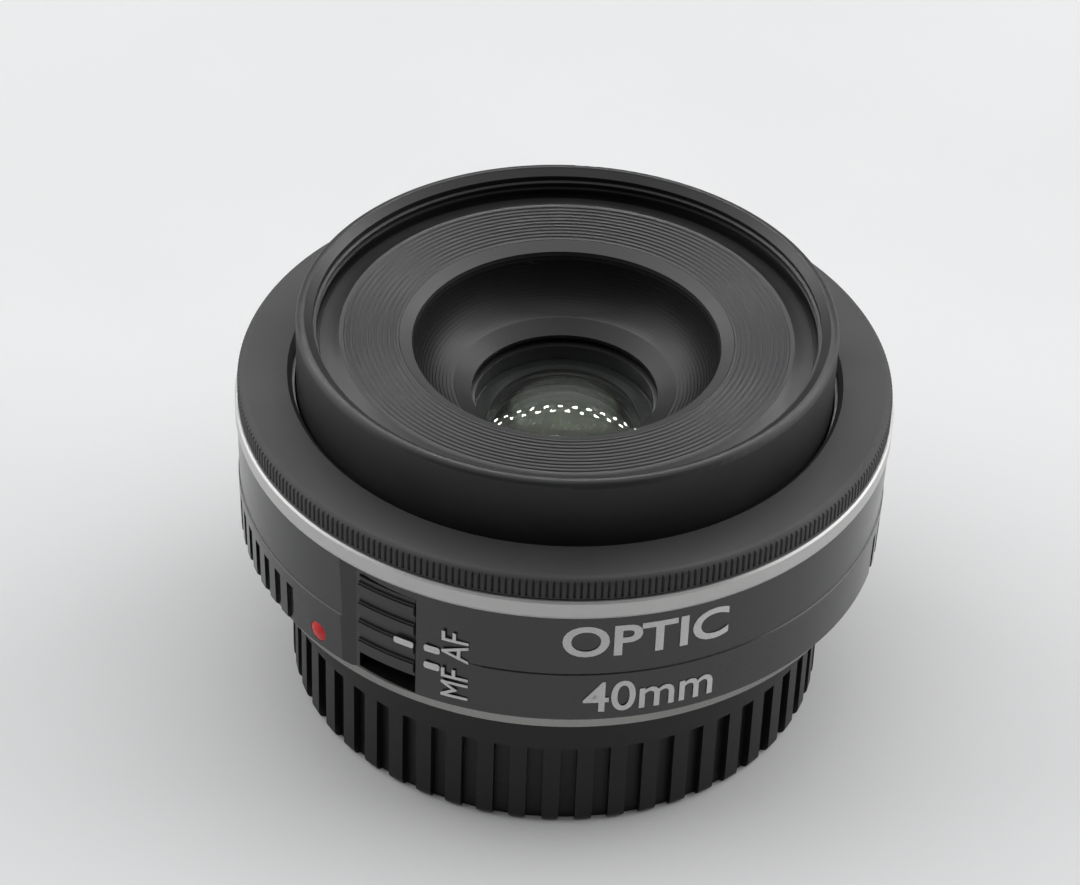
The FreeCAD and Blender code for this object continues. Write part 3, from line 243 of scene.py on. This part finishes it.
FINISHES = {
    "cap_plastic": surface("cap plastic", (0.0085, 0.0085, 0.008), 0.44, grain=0.35, depth=0.008, patch=9.0,
                           wear_and_edge_highlight=0.3, specular=0.30, dust=0.4),
    "barrel_plastic": surface("barrel paint", (0.010, 0.010, 0.010), 0.25, grain=0.10, depth=0.002,
                              patch=12.0, wear_and_edge_highlight=0.25, specular=0.58, dust=0.3),
    "ring_plastic": surface("focus ring plastic", (0.026, 0.026, 0.0252), 0.68, grain=0.14, depth=0.006,
                            lathe=0.003, lathe_size=0.2, patch=10.0, wear_and_edge_highlight=0.3, dust=0.5),
    "front_plastic": surface("front ring plastic", (0.022, 0.022, 0.022), 0.42, grain=0.12, depth=0.004,
                             lathe=0.004, lathe_size=0.16, patch=8.0, wear_and_edge_highlight=0.3, wear_and_edge_highlight_width=0.12,
                             specular=0.3, dust=0.4),
    # Its thread-wall zone is painted shade inside the ring.
    "rim_plastic": surface("filter ring plastic", (0.019, 0.019, 0.019), 0.42, grain=0.12, depth=0.004,
                           lathe=0.004, lathe_size=0.16, patch=8.0, wear_and_edge_highlight=0.3, wear_and_edge_highlight_width=0.12,
                           specular=0.3, dust=0.4, zone=THREAD_WALL_PAINTED_SHADE),
    "baffle_black": surface("baffle black", (0.012, 0.012, 0.012), 0.55, grain=0.10, depth=0.004,
                            lathe=0.003, wear_and_edge_highlight=0.5, wear_and_edge_highlight_width=0.06),
    "cup_plastic": surface("cup plastic", (0.009, 0.009, 0.009), 0.5, grain=0.10, depth=0.004, lathe=0.003,
                           wear_and_edge_highlight=0.3, wear_and_edge_highlight_width=0.05, specular=0.3, zone=BEVEL),
    "silver_paint": surface("silver band paint", (0.47, 0.47, 0.46), 0.38, metal=0.55, grain=0.08, depth=0.002,
                            lathe=0.002, wear_and_edge_highlight=0.1, tone=0.05, patch=6.0),
    "mount_metal": surface("mount chrome", (0.25, 0.247, 0.237), 0.26, metal=1.0, grain=0.3, depth=0.001,
                           lathe=0.003, lathe_size=0.1, tone=0.06, wear_and_edge_highlight=0.1),
    "screw_steel": brushed("screw steel", (0.47, 0.47, 0.47), 0.32),
    "contact_gold": surface("contact gold", (0.80, 0.58, 0.26), 0.22, metal=1.0, grain=0.2, depth=0.001,
                            tone=0.08, patch=1.5, wear_and_edge_highlight=0.1),
    "inner_plastic": surface("inner plastic", (0.018, 0.018, 0.019), 0.48, grain=0.18, depth=0.006, wear_and_edge_highlight=0.3),
    "slide_plastic": surface("acetal slides", (0.55, 0.54, 0.49), 0.36, grain=0.25, depth=0.003, tone=0.05),
    "gear_plastic": surface("acetal gears", (0.66, 0.65, 0.60), 0.34, grain=0.2, depth=0.003, tone=0.05),
    "board_green": surface("solder mask", (0.015, 0.11, 0.045), 0.28, grain=0.15, depth=0.002, patch=2.5,
                           tone=0.3, coat=0.4, coat_rough=0.1),
    # Painted shade: the switch board is black instead of its slot's green, so the gap in the switch window
    # reads dark.
    "board_black_painted_shade": surface("black solder mask as painted shade", (0.010, 0.010, 0.011), 0.35, grain=0.15, depth=0.002,
                           tone=0.2),
    "chip_black": surface("moulded epoxy", (0.014, 0.014, 0.015), 0.5, grain=0.06, depth=0.003),
    "flex_amber": surface("polyimide film", (0.42, 0.17, 0.03), 0.2, grain=0.3, depth=0.001, patch=2.0,
                          tone=0.2, coat=0.5, coat_rough=0.08),
    "blade_black": surface("blackened steel", (0.016, 0.016, 0.018), 0.38, metal=0.3, grain=0.08, depth=0.001,
                           wear_and_edge_highlight=0.5, wear_and_edge_highlight_width=0.05),
    "motor_can": brushed("motor can", (0.5, 0.5, 0.49), 0.3, along=(1, 1, 10)),
    "index_red": surface("red bead", (0.50, 0.009, 0.007), 0.30, grain=0.4, depth=0.002, tone=0.08,
                         patch=0.8, wear_and_edge_highlight=0.0, specular=0.35),
    "knob_plastic": surface("knob plastic", (0.019, 0.019, 0.019), 0.42, grain=0.10, depth=0.006, patch=3.0,
                            wear_and_edge_highlight=0.35, wear_and_edge_highlight_width=0.12),
}
GLASSES = {
    "lens_1": glass("coated glass 1", 1.70, (0.24, 0.25, 0.20, 1.0), (0.93, 0.97, 0.94, 1.0)),
    "lens_2": glass("coated glass 2", 1.74, (0.30, 0.31, 0.24, 1.0), (0.94, 0.97, 0.93, 1.0)),
    "lens_3": glass("coated glass 3", 1.62, (0.34, 0.28, 0.36, 1.0), (0.95, 0.96, 0.93, 1.0)),
    "lens_4": glass("coated glass 4", 1.72, (0.42, 0.41, 0.30, 1.0), (0.96, 0.97, 0.93, 1.0)),
    "lens_5": glass("coated glass 5", 1.66, (0.48, 0.50, 0.40, 1.0), (0.95, 0.97, 0.95, 1.0)),
    "lens_6": glass("coated glass 6", 1.58, (0.44, 0.48, 0.44, 1.0), (0.96, 0.98, 0.95, 1.0)),
}
INK = printed("white ink", (0.62, 0.62, 0.61))
# The switch board's black finish is painted shade for the switch gap.
OWN_FINISH = {"front_baffle": "cup_plastic", "filter_ring": "rim_plastic",
              "switch_board": "board_black_painted_shade"}


def dress_nodes():
    """Gives every CAD node the finish of its slot, or one of its own."""
    for part in frame["record"]["subparts"]:
        node = NODES[part["node"]]
        slot = OWN_FINISH.get(part["node"], part["material_slot"])
        material = GLASSES.get(part["node"]) or FINISHES[slot]
        node.data.materials.clear()
        node.data.materials.append(material)


# ---------------------------------------------------------------- mesh helpers
def new_piece(name, bm, material, body):
    """A finished mesh piece that rides on a body."""
    mesh = bpy.data.meshes.new(name)
    bm.to_mesh(mesh)
    bm.free()
    mesh.materials.append(material)
    piece = bpy.data.objects.new(name, mesh)
    bpy.context.scene.collection.objects.link(piece)
    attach(piece, body)


def text_bmesh(text, bold):
    """Flat solid lettering centred on the origin, one metre to the em."""
    curve = bpy.data.curves.new(text, "FONT")
    curve.body = text
    curve.align_x = "CENTER"
    curve.extrude = 0.01
    curve.offset = bold
    curve.resolution_u = 5
    holder = bpy.data.objects.new(text, curve)
    bpy.context.scene.collection.objects.link(holder)
    graph = bpy.context.evaluated_depsgraph_get()
    mesh = bpy.data.meshes.new_from_object(holder.evaluated_get(graph))
    bm = bmesh.new()
    bm.from_mesh(mesh)
    bpy.data.objects.remove(holder)
    bpy.data.curves.remove(curve)
    bpy.data.meshes.remove(mesh)
    return bm


def fit_flat(bm, width, height):
    """Scales lettering to a width and height in millimetres and centres it."""
    low = [min(v.co[i] for v in bm.verts) for i in range(3)]
    high = [max(v.co[i] for v in bm.verts) for i in range(3)]
    for v in bm.verts:
        v.co.x = (v.co.x - (low[0] + high[0]) / 2) * width / (high[0] - low[0])
        v.co.y = (v.co.y - (low[1] + high[1]) / 2) * height / (high[1] - low[1])
        v.co.z = 1.0 if v.co.z > 0 else -1.0


def wrap(bm, radius, angle, z):
    """Bends a flat piece in millimetres round the barrel, half sunk into it by the print's thickness."""
    edge = max(abs(v.co.x) for v in bm.verts)
    cut = -edge + BEND_STEP
    while cut < edge:
        geometry = bm.verts[:] + bm.edges[:] + bm.faces[:]
        bmesh.ops.bisect_plane(bm, geom=geometry, plane_co=(cut, 0, 0), plane_no=(1, 0, 0))
        cut += BEND_STEP
    for v in bm.verts:
        out = radius + (PRINT_THICKNESS if v.co.z > 0 else -PRINT_THICKNESS)
        v.co = around(out, angle + math.degrees(v.co.x / radius), z + v.co.y)
    bmesh.ops.remove_doubles(bm, verts=bm.verts, dist=1e-7)
    bmesh.ops.recalc_face_normals(bm, faces=bm.faces)


def lettering(name, text, radius, angle, z, width, height, bold=0.0, quarter_turn=False):
    """Printed text on the barrel; quarter-turned text reads upwards."""
    bm = text_bmesh(text, bold)
    fit_flat(bm, *((height, width) if quarter_turn else (width, height)))
    if quarter_turn:
        bmesh.ops.rotate(bm, verts=bm.verts, cent=(0, 0, 0), matrix=Matrix.Rotation(math.pi / 2, 3, "Z"))
    wrap(bm, radius, angle, z)
    new_piece(name, bm, INK, "barrel")


def bar(name, radius, angle, z, width, height, body):
    """A printed rectangle with rounded ends."""
    bm = bmesh.new()
    corner = min(width, height) * 0.3
    outline = []
    for quarter, (sx, sy) in enumerate(((1, 1), (-1, 1), (-1, -1), (1, -1))):
        for step in range(4):
            turn = math.radians(90 * quarter + 30 * step)
            outline.append((sx * (width / 2 - corner) + corner * math.cos(turn),
                            sy * (height / 2 - corner) + corner * math.sin(turn)))
    rings = [[bm.verts.new((x, y, level)) for x, y in outline] for level in (-1.0, 1.0)]
    bm.faces.new(rings[1])
    bm.faces.new(list(reversed(rings[0])))
    for i in range(len(outline)):
        bm.faces.new((rings[0][i - 1], rings[0][i], rings[1][i], rings[1][i - 1]))
    wrap(bm, radius, angle, z)
    new_piece(name, bm, INK, body)


# ---------------------------------------------------------------- filter thread
def filter_thread():
    """The ridges of the M52 x 0.75 thread, a helix that fades out at both ends."""
    bm = bmesh.new()
    steps = int(THREAD_TURNS * THREAD_STEPS_A_TURN)
    rows = []
    for i in range(steps + 1):
        turn = 360.0 * i * THREAD_TURNS / steps
        middle = THREAD_TOP - THREAD_PITCH * (0.5 + turn / 360.0)
        fade = min(1.0, i / THREAD_FADE_STEPS, (steps - i) / THREAD_FADE_STEPS)
        deep = THREAD_DEPTH * max(fade, 0.02)
        rows.append([bm.verts.new(around(THREAD_MAJOR + (deep * out if out < 0 else out), turn,
                                         middle + rise)) for out, rise in THREAD_SECTION])
    for near, far in zip(rows, rows[1:]):
        for k in range(len(THREAD_SECTION)):
            bm.faces.new((near[k - 1], near[k], far[k], far[k - 1]))
    bm.faces.new(rows[0])
    bm.faces.new(list(reversed(rows[-1])))
    bmesh.ops.recalc_face_normals(bm, faces=bm.faces)
    new_piece("filter_thread_ridges", bm, FINISHES["baffle_black"], "optical_unit")


# ---------------------------------------------------------------- printing
def printing():
    lettering("wordmark", "OPTIC", BARREL_RADIUS, 15.8, FLANGE_Z + 12.7, 17.0, 3.9, bold=0.02)
    lettering("focal_length", "40mm", BARREL_RADIUS, 16.6, FLANGE_Z + 5.4, 13.4, 3.9, bold=0.008)
    lettering("auto_mark", "AF", SCOOP_RADIUS + 0.35, -16.5, FLANGE_Z + 10.1, 2.8, 3.6, quarter_turn=True)
    lettering("manual_mark", "MF", SCOOP_RADIUS + 0.35, -16.5, FLANGE_Z + 5.3, 2.8, 3.6, quarter_turn=True)
    for name, z in (("auto_tick", 8.9), ("manual_tick", 6.7)):
        bar(name, SCOOP_RADIUS + 0.2, -20.7, FLANGE_Z + z, 1.7, 0.8, "barrel")
    bar("switch_dash", KNOB_RADIUS, -26.0, FLANGE_Z + 8.6, 2.2, 0.75, "af_switch")


# ---------------------------------------------------------------- studio
def floor():
    """A seamless pale sweep."""
    bm = bmesh.new()
    half = 1.6
    profile = [(-1.2, 0.0), (0.9, 0.0)]
    profile += [(0.9 + 0.5 * math.sin(a), 0.5 - 0.5 * math.cos(a))
                for a in (math.radians(10 * i) for i in range(1, 10))]
    profile.append((1.4, 1.6))
    rows = [[bm.verts.new((x, y, z)) for x in (-half, half)] for y, z in profile]
    for near, far in zip(rows, rows[1:]):
        bm.faces.new((near[0], near[1], far[1], far[0]))
    mesh = bpy.data.meshes.new("floor")
    bm.to_mesh(mesh)
    bm.free()
    tree = Tree("paper")
    broad = tree.noise(60.0, 2.0)
    fine = tree.noise(0.6, 3.0)
    bump = tree.put("ShaderNodeBump", {"Height": tree.math("MULTIPLY", fine, 0.01 * MM), "Distance": 1.0})
    tint = tree.mix(tree.span(broad, 0.3, 0.7), PAPER_DARK, PAPER_PALE)
    tree.set(tree.shader, {"Base Color": tint, "Roughness": 0.7, "Normal": bump.outputs[0],
                           "Specular IOR Level": 0.25})
    mesh.materials.append(tree.material)
    sheet = bpy.data.objects.new("floor", mesh)
    bpy.context.scene.collection.objects.link(sheet)
    for face in mesh.polygons:
        face.use_smooth = True


def soft_light(name, place, aim, size, power):
    """A rectangular softbox turned to a point."""
    data = bpy.data.lights.new(name, "AREA")
    data.shape = "RECTANGLE"
    data.size, data.size_y = size
    data.energy = power
    lamp = bpy.data.objects.new(name, data)
    lamp.location = place
    lamp.rotation_euler = (Vector(aim) - Vector(place)).to_track_quat("-Z", "Y").to_euler()
    bpy.context.scene.collection.objects.link(lamp)


def led_strips():
    """Two staggered rows of small lamps over the lens, seen only as glints in the glass."""
    bm = bmesh.new()
    for row in range(2):
        for i in range(LED_COUNT):
            x = (i - LED_COUNT / 2 + 0.25 + 0.5 * row) * LED_PITCH
            y, z = LED_Y + LED_ROW_GAP * row, LED_Z
            corners = [(x - LED_LONG, y - LED_WIDE, z), (x - LED_LONG, y + LED_WIDE, z),
                       (x + LED_LONG, y + LED_WIDE, z), (x + LED_LONG, y - LED_WIDE, z)]
            bm.faces.new([bm.verts.new(c) for c in corners])
    mesh = bpy.data.meshes.new("led_strips")
    bm.to_mesh(mesh)
    bm.free()
    material = bpy.data.materials.new("led")
    material.use_nodes = True
    nodes = material.node_tree.nodes
    nodes.remove(nodes["Principled BSDF"])
    glow = nodes.new("ShaderNodeEmission")
    glow.inputs["Strength"].default_value = LED_STRENGTH
    material.node_tree.links.new(glow.outputs[0], nodes["Material Output"].inputs[0])
    mesh.materials.append(material)
    strips = bpy.data.objects.new("led_strips", mesh)
    bpy.context.scene.collection.objects.link(strips)
    strips.visible_camera = False
    strips.visible_diffuse = False
    strips.visible_shadow = False


def tent():
    """Pale walls behind and beside the lens, darker towards the open front."""
    world = bpy.data.worlds.new("tent")
    world.use_nodes = True
    nodes, links = world.node_tree.nodes, world.node_tree.links
    way = nodes.new("ShaderNodeSeparateXYZ")
    links.new(nodes.new("ShaderNodeTexCoord").outputs["Generated"], way.inputs[0])
    fade = nodes.new("ShaderNodeMapRange")
    for key, value in zip(("From Min", "From Max", "To Min", "To Max"), TENT_FADE):
        fade.inputs[key].default_value = value
    links.new(way.outputs[1], fade.inputs["Value"])
    links.new(fade.outputs[0], nodes["Background"].inputs["Strength"])
    nodes["Background"].inputs["Color"].default_value = TENT_COLOUR
    bpy.context.scene.world = world


def studio_light():
    tent()
    soft_light("top", (0.0, 0.0, 0.75), (0.0, 0.0, 0.03), (1.3, 1.0), 2.4)
    soft_light("left", (-0.7, 0.15, 0.32), (0.0, 0.0, 0.02), (0.8, 0.6), 2.4)
    soft_light("right", (0.7, 0.2, 0.32), (0.0, 0.0, 0.02), (0.8, 0.6), 3.1)


def camera():
    """A long lens from the front and above, aimed a little off centre and slightly rolled."""
    back = Vector((0.0, -math.cos(ELEVATION), math.sin(ELEVATION)))
    right = Vector((1.0, 0.0, 0.0))
    up = back.cross(right)
    yaw = Matrix.Rotation(math.atan2(SHIFT_PX[0], FOCAL_PX), 3, up)
    ahead, right = yaw @ -back, yaw @ right
    pitch = Matrix.Rotation(math.atan2(SHIFT_PX[1], FOCAL_PX), 3, right)
    ahead, up = pitch @ ahead, pitch @ up
    side = right * math.cos(ROLL) + up * math.sin(ROLL)
    top = up * math.cos(ROLL) - right * math.sin(ROLL)
    data = bpy.data.cameras.new("camera")
    data.sensor_width = 36.0
    data.sensor_fit = "HORIZONTAL"
    data.lens = data.sensor_width * FOCAL_PX / IMAGE_WIDTH
    data.clip_start, data.clip_end = 0.01, 20.0
    eye = bpy.data.objects.new("camera", data)
    turn = Matrix((side, top, -ahead)).transposed().to_4x4()
    eye.matrix_world = Matrix.Translation(AIM + back * DISTANCE) @ turn
    bpy.context.scene.collection.objects.link(eye)
    bpy.context.scene.camera = eye


bpy.context.scene.view_settings.view_transform = "Standard"
dress_nodes()
filter_thread()
printing()
floor()
led_strips()
studio_light()
camera()
